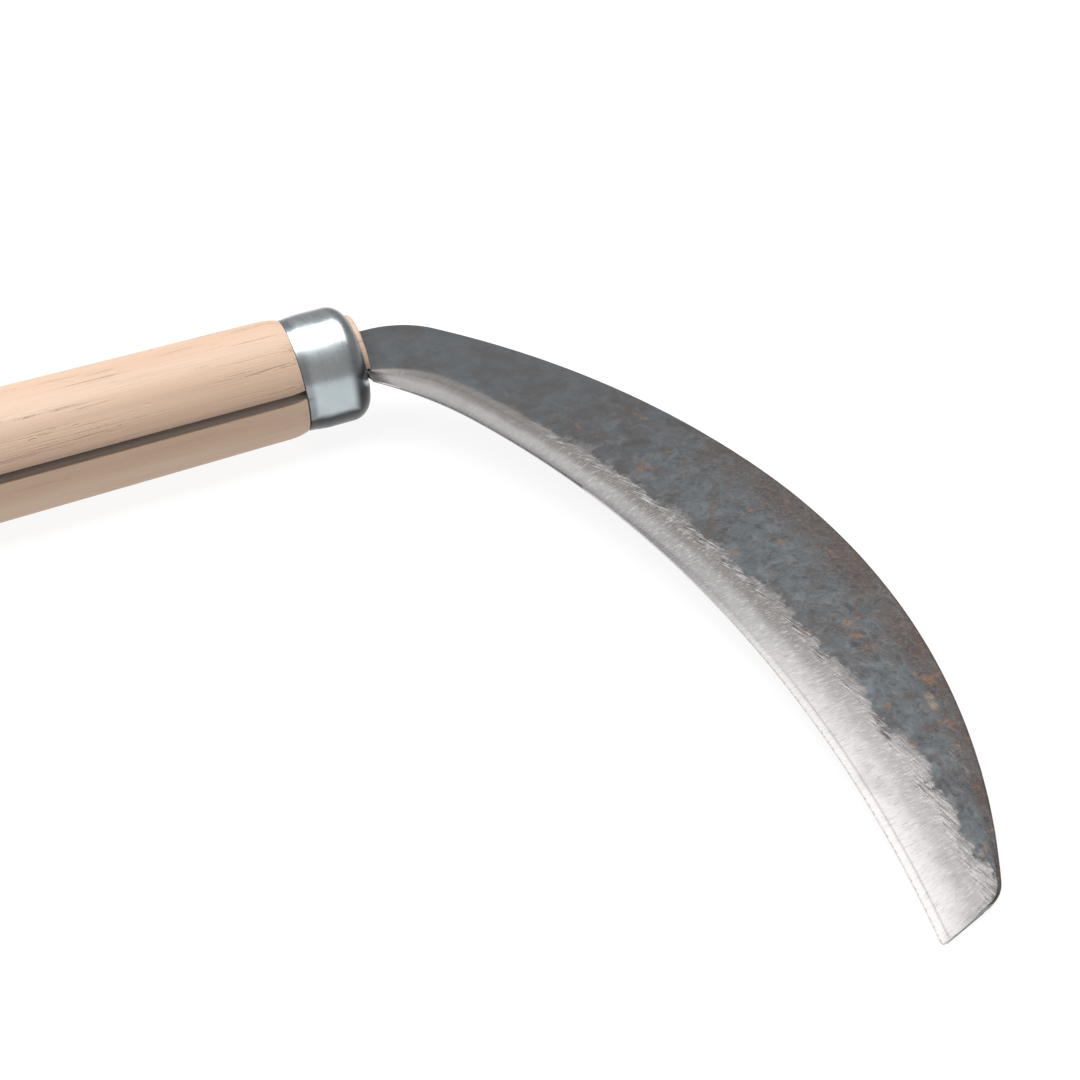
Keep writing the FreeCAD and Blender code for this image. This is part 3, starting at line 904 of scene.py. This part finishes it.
def wood():
    """Pale straight-grained stick: fine lines in loose clusters, a few nicks, and smudges from handling."""
    p = Paint("pale_ash", Specular_IOR_Level=0.5)
    split = {"Vector": p.place()}
    along, across, up = (p.node("SeparateXYZ", split, output=axis) for axis in range(3))
    sway = p.noise(p.place((per(130), per(45), per(45))), detail=1.0)
    rings = p.add(p.add(p.mul(up, per(7.5)), p.mul(across, per(23))), p.mul(sway, 1.3))
    late = p.math("FRACT", rings)
    late = p.mul(p.fade(late, 0.0, 0.5), p.fall(late, 0.62, 1.0))
    fibre = p.noise(p.place((per(26), per(0.38), per(0.38))), roughness=0.55)
    line = p.noise(p.place((per(24), per(0.46), per(0.46))), roughness=0.6)
    cluster = p.noise(p.place((per(38), per(2.6), per(2.6))), detail=2.0)
    lines = p.mul(p.fade(line, 0.50, 0.68), p.fade(cluster, 0.47, 0.66))
    nick = p.noise(p.place((per(3.4), per(0.8), per(0.8))), detail=1.0)
    nicks = p.mul(p.fade(nick, 0.70, 0.78), p.fade(cluster, 0.46, 0.58))
    smudge = p.fade(p.noise(p.place((per(9), per(2.8), per(2.8)))), 0.66, 0.80)
    below = p.fall(up, 0.0, 3.5 * MM)
    blotch = p.noise(p.place((per(60), per(9), per(9))), detail=2.0)
    base = p.mix(p.fade(blotch, 0.3, 0.7), WOOD_TAN, WOOD_PALE)
    base = p.over(base, WOOD_LATE, late, 0.35)
    base = p.over(base, WOOD_FIBRE, p.fade(fibre, 0.42, 0.72, 0.0, 0.30))
    marks = p.mul(p.high(lines, p.mul(nicks, 0.8)), p.fade(below, 0.0, 1.0, 0.15, 0.06))
    base = p.over(base, WOOD_LINE, marks)
    base = p.over(base, WOOD_SMUDGE, smudge, below, 0.45)
    # Painted shade darkens the kerf's mouth along its upper lip; the faces inside are painted pale, partly
    # for fresh-cut wood and partly as painted light on the shaded kerf walls.
    mouth = p.mul(p.fade(up, 1.2 * MM, 2.4 * MM), p.fade(up, 2.9 * MM, 4.6 * MM, 0.45, 0.0))
    mouth = p.mul(mouth, p.fall(across, -12 * MM, -9 * MM))
    base = p.over(base, WOOD_PAINTED_SHADE, mouth, p.fade(along, KERF_END - 4 * MM, KERF_END + 10 * MM))
    # Painted light, together with the sawn wood's own paler tone: the faces inside the kerf.
    from_axis = p.node("VectorMath", {0: p.vector(0.0, across, up)}, output=1, operation="LENGTH")
    sawn = p.mul(p.fall(from_axis, 13.2 * MM, 14.4 * MM), p.fade(along, 20 * MM, 30 * MM))
    sawn = p.mul(sawn, p.fall(along, FERRULE_REAR, FERRULE_REAR + 2 * MM))
    base = p.over(base, WOOD_SAWN_AND_PAINTED_LIGHT, sawn)
    p.drive("Base Color", base)
    relief = p.add(p.mul(lines, -1.0), p.add(p.mul(nicks, -1.3), p.mul(fibre, 0.25)))
    relief = p.mul(relief, p.fade(below, 0.0, 1.0, 1.0, 0.25))
    p.drive("Normal", p.bump(relief, 0.15 * MM))
    p.drive("Roughness", p.fade(fibre, 0.3, 0.7, 0.5, 0.66))
    return p.material


def zinc():
    """Bright plated sheet, cloudy from handling, with painted shade where it is rolled in, along its
    underside and behind its rear rim.
    """
    p = Paint("bright_zinc", Metallic=1.0)
    split = {"Vector": p.place()}
    along, up = p.node("SeparateXYZ", split), p.node("SeparateXYZ", split, output=2)
    cloud = p.noise(p.place((per(6),) * 3), detail=4.0, roughness=0.6)
    rub = p.noise(p.place((per(1.2), per(7), per(7))))
    speck = p.noise(p.place((per(0.5),) * 3), detail=2.0)
    tone = p.mix(p.fade(cloud, 0.35, 0.7), ZINC_CLOUD, ZINC_CLEAR)
    # Painted shade: darker along the underside, on the rolled front and behind the rear rim, standing in for
    # dark reflections of the shade round the handle; kept off beside the blade's neck.
    drifted = p.add(up, p.swing(cloud, 1.6 * MM))
    low = p.mul(p.fall(drifted, -7.4 * MM, -4.9 * MM), p.fade(up, -14 * MM, -12 * MM, 0.45, 1.0))
    rolled = p.fade(along, ROLL_X - 0.9 * MM, ROLL_X + 1.7 * MM)
    rolled = p.mul(rolled, p.fade(up, -2 * MM, 9 * MM, 1.0, 0.45))
    rear = p.fade(along, FERRULE_REAR + 1.2 * MM, FERRULE_REAR + 3.0 * MM, 0.60, 0.0)
    painted_shade = p.high(p.high(low, rolled), p.mul(rear, p.fade(up, -9 * MM, 9 * MM, 1.0, 0.5)))
    near_neck = p.node("VectorMath", {0: p.place(), 1: tuple(NECK_MARK)}, output=1, operation="DISTANCE")
    painted_shade = p.mul(painted_shade, p.fade(near_neck, 1.2 * MM, 2.6 * MM))
    tone = p.over(tone, ZINC_PAINTED_SHADE, painted_shade)
    p.drive("Base Color", p.mix(p.fade(speck, 0.66, 0.8, 0.0, 0.3), tone, ZINC_SPECK))
    p.drive("Roughness", p.add(p.fade(cloud, 0.3, 0.7, 0.23, 0.31), p.mul(p.fade(rub, 0.4, 0.7), 0.04)))
    p.drive("Normal", p.bump(p.add(p.mul(cloud, 0.7), p.mul(rub, 0.12)), 0.04 * MM, 0.5))
    return p.material


class BladePaint(Paint):
    """A paint that knows where a point lies on the blade, with the textures that its finishes share."""

    def __init__(self, name):
        super().__init__(name)
        self.along, self.inset = self.attribute("along"), self.attribute("inset")
        self.share, self.pit = self.attribute("share"), self.attribute("pit")
        self.here = self.place()
        self.to_middle = self.fade(self.along, 25 * MM, 80 * MM)
        self.to_tip = self.fade(self.along, 105 * MM, 178 * MM)

        # Fine grinding scratches run across the bevel; coarse ones near its top run along it and inwards.
        lean = self.fade(self.along, 120 * MM, 200 * MM, -0.20, 0.12)
        cross = self.add(self.along, self.mul(self.inset, lean))
        slant = self.sub(self.inset, self.mul(self.along, 0.29))
        self.fine = self.grain((cross, 0.27), (self.inset, 1.5), roughness=0.65)
        self.strokes = self.grain((cross, 0.62), (self.inset, 2.6))
        self.coarse = self.grain((slant, 0.45), (self.along, 4.5), roughness=0.65)
        self.streak = self.grain((slant, 0.9), (self.along, 5.0), detail=2.0)
        self.patch = self.grain((self.along, 8.0), (self.inset, 8.0), detail=2.0, roughness=0.5)
        self.crumb = self.noise(self.here, per(1.3), detail=4.0, roughness=0.65)
        self.mottle = self.noise(self.here, per(3.4), detail=4.0, roughness=0.6, distortion=0.5)
        self.grit = self.noise(self.here, per(0.55), roughness=0.6)

        # Share of the bevel's width with a wavy border, and the coarsely ground band at the bevel's top.
        waves = self.add(self.swing(self.patch, 0.16), self.swing(self.strokes, 0.10))
        self.wavy = self.add(self.share, waves)
        self.rough_zone = self.mul(self.fade(self.wavy, 0.64, 0.80), self.rise(self.to_middle, 0.06))

    def grain(self, first, second, detail=3.0, roughness=0.6):
        """Noise over two of the blade's own directions, each given with its feature size in millimetres."""
        where = self.vector(self.mul(first[0], per(first[1])), self.mul(second[0], per(second[1])))
        return self.noise(where, detail=detail, roughness=roughness)

    def spot(self, place, level, size=1.0):
        """1 at one place on the blade's scaled face, falling to 0 around it."""
        beside = self.math("ABSOLUTE", self.sub(self.along, place))
        across = self.math("ABSOLUTE", self.sub(self.share, level))
        nearby = self.fall(beside, 1.2 * MM * size, 3.0 * MM * size)
        return self.mul(nearby, self.fall(across, 0.03 * size, 0.09 * size))


def scale_level(p):
    """Like share, but ragged: the bevel gives way to scale where this passes 1."""
    ragged = p.add(p.swing(p.patch, 0.58), p.swing(p.streak, 0.16))
    ragged = p.add(ragged, p.add(p.swing(p.coarse, 0.14), p.swing(p.crumb, 0.46)))
    level = p.add(p.share, p.mul(ragged, p.rise(p.to_middle, 0.30)))
    narrowed = p.mul(p.fade(p.along, 100 * MM, 130 * MM), p.fall(p.along, 160 * MM, 185 * MM))
    return p.add(level, p.mul(narrowed, 0.10))


def ground_metal(p, level):
    """Bright up to the ridge, dull brown beyond it, then coarsely ground; a painted reflection darkens its
    middle and makes it brighter towards the tip.
    """
    # Painted reflection: the colour runs from the root through a darker middle to a brighter tip.
    root = p.mix(p.fade(p.along, 60 * MM, 100 * MM), GROUND_ROOT_WITH_REFLECTION, GROUND_MIDDLE_WITH_REFLECTION)
    ground = p.mix(p.to_tip, root, GROUND_TIP_WITH_REFLECTION)
    ground = p.over(ground, GROUND_DULL, p.fade(p.along, 10 * MM, 32 * MM, 0.42, 0.0))
    # Painted reflection: brighter near the edge towards the tip.
    ground = p.over(ground, GROUND_BRIGHT_REFLECTION, p.fade(p.share, 0.10, 0.50, 0.75, 0.0), p.to_tip)
    dull = p.mul(p.fade(p.wavy, 0.38, 0.58), p.fade(p.wavy, 0.68, 0.84, 1.0, 0.80))
    ground = p.over(ground, GROUND_DULL, dull, p.fade(p.to_tip, 0.1, 1.0, 0.80, 0.34))
    keen = p.rise(p.to_middle, 0.30)
    light = p.add(p.mul(p.fade(p.strokes, 0.53, 0.68), 0.30), p.mul(p.fade(p.fine, 0.54, 0.70), 0.55))
    shade = p.add(p.mul(p.fade(p.strokes, 0.47, 0.32), 0.24), p.mul(p.fade(p.fine, 0.46, 0.32), 0.36))
    ground = p.over(ground, GROUND_LIGHT, light, keen)
    ground = p.over(ground, GROUND_SHADE, shade, keen)
    haze = p.noise(p.here, per(7.0))
    ground = p.over(ground, GROUND_DULL, p.fade(haze, 0.5, 0.75, 0.0, 0.22))
    beside_scale = p.mul(p.fade(level, 0.80, 1.0), p.fade(p.to_tip, 0.0, 1.0, 0.35, 0.6))
    ground = p.over(ground, GROUND_DULL, beside_scale)
    striped = p.mul(p.rough_zone, p.fade(p.patch, 0.42, 0.52, 0.12, 1.0))
    striped = p.mul(striped, p.fade(p.along, 170 * MM, 190 * MM, 1.0, 0.5))
    ground = p.over(ground, GROUND_LIGHT, striped, p.fade(p.coarse, 0.50, 0.62, 0.0, 0.60))
    ground = p.over(ground, GROUND_DARK, striped, p.fade(p.coarse, 0.48, 0.40, 0.0, 0.90))
    ground = p.over(ground, GROUND_LIGHT, p.rough_zone, p.fade(p.crumb, 0.50, 0.68, 0.0, 0.25))
    return p.over(ground, GROUND_DULL, p.rough_zone, p.fade(p.crumb, 0.46, 0.34, 0.0, 0.45))


def cutting_edge(p, ground):
    """The ground metal with its edge: painted shade along the edge near the root, painted light on its side
    wall and at the heel; honed towards the tip, behind a thin grey line.
    """
    to_root = p.fall(p.along, 95 * MM, 140 * MM)
    # Painted shade: a darker grey band just in from the edge, towards the root.
    edge_shade = p.mul(p.mul(p.fade(p.share, 0.0, 0.04), p.fade(p.share, 0.05, 0.24, 0.70, 0.0)), to_root)
    ground = p.over(ground, EDGE_SHADE, edge_shade, p.fade(p.along, 6 * MM, 20 * MM))
    # Painted light: the thin side wall at the edge, which faces away from the light, is painted lighter
    # towards the root.
    ground = p.over(ground, GROUND_LIGHT, p.fade(p.inset, 0.04 * MM, 0.22 * MM, 0.9, 0.0), to_root)
    # Painted light: the steep start of the bevel at the heel is painted lighter where it lies in shade.
    heel = p.mul(p.fade(p.along, 2 * MM, 9 * MM, 0.4, 0.0), p.fall(p.share, 0.25, 0.65))
    ground = p.over(ground, GROUND_LIGHT, heel)
    honed = p.mul(p.fall(p.inset, 0.7 * MM, 1.5 * MM), p.fade(p.along, 95 * MM, 150 * MM, 0.0, 0.5))
    ground = p.over(ground, GROUND_HONED, honed)
    line = p.mul(p.fade(p.inset, 1.30 * MM, 1.48 * MM), p.fall(p.inset, 1.56 * MM, 1.85 * MM))
    line = p.mul(line, p.mul(p.fade(p.along, 130 * MM, 155 * MM), p.fall(p.share, 2.0, 2.6)))
    ground = p.over(ground, GROUND_DULL, line, 0.35)
    nibbled = p.noise(p.vector(p.mul(p.along, per(0.9)), 0.0))
    rim = p.mul(p.fall(p.inset, 0.10 * MM, 0.34 * MM), p.fade(nibbled, 0.42, 0.60))
    return p.over(ground, EDGE_STAIN, rim, p.fade(p.along, 85 * MM, 140 * MM, 0.0, 0.7))


def forge_scale(p):
    """Blue-grey, patchy, browner along the spine, with rust where it has broken."""
    drift = p.noise(p.here, per(12), roughness=0.55)
    scale = p.mix(p.fade(drift, 0.40, 0.60), SCALE_GREY, SCALE_BLUE)
    uneven = p.rise(p.to_middle, 0.35)
    scale = p.over(scale, SCALE_PALE, uneven, p.fade(p.mottle, 0.50, 0.66, 0.0, 0.65))
    scale = p.over(scale, SCALE_DARK, uneven, p.fade(p.mottle, 0.47, 0.33, 0.0, 0.6))
    to_spine = p.fade(p.add(p.share, p.swing(p.mottle, 0.5)), 1.55, 1.82)
    to_spine = p.mul(to_spine, p.fade(p.along, 50 * MM, 110 * MM, 0.15, 1.0))
    scale = p.over(scale, SPINE_BROWN, to_spine, p.fade(drift, 0.40, 0.65, 1.0, 0.65))
    tan = p.fade(p.noise(p.here, per(8), detail=4.0, roughness=0.6, distortion=1.2), 0.54, 0.66, 0.0, 0.8)
    scale = p.over(scale, SCALE_BROWN, tan, p.to_middle)
    pale_grit = p.mul(p.fade(p.grit, 0.52, 0.74), p.fade(p.to_middle, 0.0, 1.0, 0.1, 0.35))
    scale = p.over(scale, SCALE_PALE, pale_grit)
    scale = p.over(scale, SCALE_DARK, p.pit, 0.65)
    rim_light = p.mul(p.fade(p.pit, 0.02, 0.16), p.fall(p.pit, 0.18, 0.42))
    scale = p.over(scale, SCALE_PALE, rim_light, 0.35)
    spots = p.noise(p.here, per(5.0), roughness=0.6, distortion=0.4)
    rust = p.mul(p.fade(spots, 0.60, 0.70), p.fade(p.along, 20 * MM, 60 * MM, 0.15, 1.0))
    rust = p.high(rust, p.mul(to_spine, p.fade(p.crumb, 0.58, 0.68, 0.0, 0.55)))
    scale = p.over(scale, RUST, rust, p.fade(p.grit, 0.36, 0.60, 0.2, 0.9))
    flecks = p.fade(p.noise(p.here, per(0.9), detail=2.0), 0.74, 0.80, 0.0, 0.55)
    scale = p.over(scale, FLECK, flecks, p.to_middle)
    scuff = p.mul(p.spot(SCUFF_PLACE, 1.66, 2.2), p.fade(p.high(p.fine, p.coarse), 0.52, 0.66))
    scale = p.over(scale, SCUFF, scuff, 0.7)
    bare = p.mul(p.spot(BARE_PLACE, 1.69), p.fade(p.crumb, 0.34, 0.52))
    scale = p.over(scale, BARE_TAN, bare, 0.85)
    # Darker overall, most towards the root.
    return p.over(scale, SCALE_DARKENING, p.fade(p.along, 50 * MM, 150 * MM, 0.34, 0.14))


def forged_and_ground(name):
    """Black forge scale above, ground metal below a ragged line, as the blade's own values tell it."""
    p = BladePaint(name)
    level = scale_level(p)
    honed_under = p.mul(p.fade(p.share, 2.75, 2.95), p.fall(p.inset, 3.2 * MM, 4.2 * MM))
    scale_part = p.mul(p.fade(level, 0.95, 1.05), p.sub(1.0, honed_under))
    metal_part = p.sub(1.0, scale_part)
    ground = cutting_edge(p, ground_metal(p, level))
    p.drive("Base Color", p.mix(scale_part, ground, forge_scale(p)))
    p.drive("Metallic", p.fade(scale_part, 0.0, 1.0, 0.80, 0.10))
    p.drive("Specular IOR Level", p.fade(scale_part, 0.0, 1.0, 0.5, 0.28))
    rough_metal = p.add(0.40, p.mul(p.fine, 0.12))
    rough_scale = p.fade(p.mottle, 0.35, 0.7, 0.60, 0.46)
    p.drive("Roughness", p.add(p.mul(metal_part, rough_metal), p.mul(scale_part, rough_scale)))
    scratches = p.add(p.mul(p.fine, 0.35), p.mul(p.strokes, 0.35))
    torn = p.add(p.mul(p.coarse, 1.8), p.mul(p.crumb, 0.8))
    scratches = p.add(p.mul(p.sub(1.0, p.rough_zone), scratches), p.mul(p.rough_zone, torn))
    crust = p.add(p.mul(p.mottle, 0.9), p.mul(p.grit, 0.5))
    crust = p.mul(crust, p.rise(p.to_middle, 0.35))
    relief = p.add(p.mul(metal_part, p.mul(scratches, 0.5)), p.mul(scale_part, crust))
    p.drive("Normal", p.bump(relief, 0.13 * MM))
    return p.material


def plain_floor():
    """Pale studio paper that glows a little, so that shadows stay faint."""
    p = Paint("pale_paper", Roughness=0.9, Emission_Strength=0.90)
    p.shader.inputs["Emission Color"].default_value = (1, 1, 1, 1)
    fibres = p.noise(p.place((per(40),) * 3), detail=2.0)
    p.drive("Base Color", p.mix(fibres, PAPER_DARK, PAPER_LIGHT))
    return p.material


# ---- assemble ----

blade, steel = make_blade()
for piece, node, slot, finish in (
    (make_handle(), "handle", "handle_wood", wood()),
    (make_ferrule(), "ferrule", "ferrule_steel", zinc()),
    (blade, "blade", "forged_iron", forged_and_ground("forged_iron")),
    (steel, "edge_steel", "ground_steel", forged_and_ground("ground_steel")),
):
    piece.data.materials.clear()
    piece.data.materials.append(finish)
    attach(piece, "root")
    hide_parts(node)


# ---- stage, light and camera ----

FLOOR_HALF = 4.0
LIGHT_PLACE = Vector((ROOT_X, 0.105, 0.70))
LIGHT_WIDTH = 1.1
LIGHT_DEPTH = 0.61
LIGHT_RADIANCE = 5.5
LIGHT_COLOUR = (0.985, 0.99, 1.0)
ROOM_COLOUR = (0.465, 0.44, 0.43)
CAMERA_AIM = Vector((ROOT_X + 8.1 * MM, -97.8 * MM, 0))
CAMERA_DISTANCE = 329 * MM
CAMERA_AZIMUTH = math.radians(19.64)
CAMERA_ELEVATION = math.radians(34.17)
CAMERA_ROLL = math.radians(-5.97)
CAMERA_LENS = 53.33
CAMERA_NEAR = 0.01


def make_floor():
    """A wide sheet of paper under the sickle."""
    bm = bmesh.new()
    corners = ((-1, -1), (1, -1), (1, 1), (-1, 1))
    bm.faces.new([bm.verts.new((ROOT_X + FLOOR_HALF * x, FLOOR_HALF * y, FLOOR_Z)) for x, y in corners])
    floor = finish_mesh("floor", bm, Matrix.Identity(4))
    floor.data.materials.append(plain_floor())


def make_light():
    """A soft box straight above; its power follows from its size and how bright its face is."""
    lamp = bpy.data.lights.new("overhead_softbox", "AREA")
    lamp.shape = "RECTANGLE"
    lamp.size = LIGHT_WIDTH
    lamp.size_y = LIGHT_DEPTH
    lamp.energy = LIGHT_RADIANCE * math.pi * LIGHT_WIDTH * LIGHT_DEPTH
    lamp.color = LIGHT_COLOUR
    holder = bpy.data.objects.new(lamp.name, lamp)
    holder.location = LIGHT_PLACE
    holder.rotation_euler = Vector((0, 0, -1)).to_track_quat("-Z", "Y").to_euler()
    bpy.context.scene.collection.objects.link(holder)


def make_camera():
    """Close three-quarter view from the blade's open side, above the table and slightly rolled."""
    towards = Vector((0, -math.cos(CAMERA_ELEVATION), math.sin(CAMERA_ELEVATION)))
    towards = Matrix.Rotation(-CAMERA_AZIMUTH, 3, "Z") @ towards
    camera = bpy.data.objects.new("camera", bpy.data.cameras.new("camera"))
    camera.data.lens = CAMERA_LENS
    camera.data.clip_start = CAMERA_NEAR
    camera.location = CAMERA_AIM + towards * CAMERA_DISTANCE
    turn = (-towards).to_track_quat("-Z", "Y").to_matrix() @ Matrix.Rotation(CAMERA_ROLL, 3, "Z")
    camera.rotation_euler = turn.to_euler()
    bpy.context.scene.collection.objects.link(camera)
    bpy.context.scene.camera = camera


def light_room():
    """An even, slightly warm grey all round."""
    world = bpy.data.worlds.new("studio")
    world.use_nodes = True
    world.node_tree.nodes["Background"].inputs["Color"].default_value = (*ROOM_COLOUR, 1)
    bpy.context.scene.world = world


make_floor()
make_light()
make_camera()
light_room()
bpy.context.scene.view_settings.view_transform = "Standard"
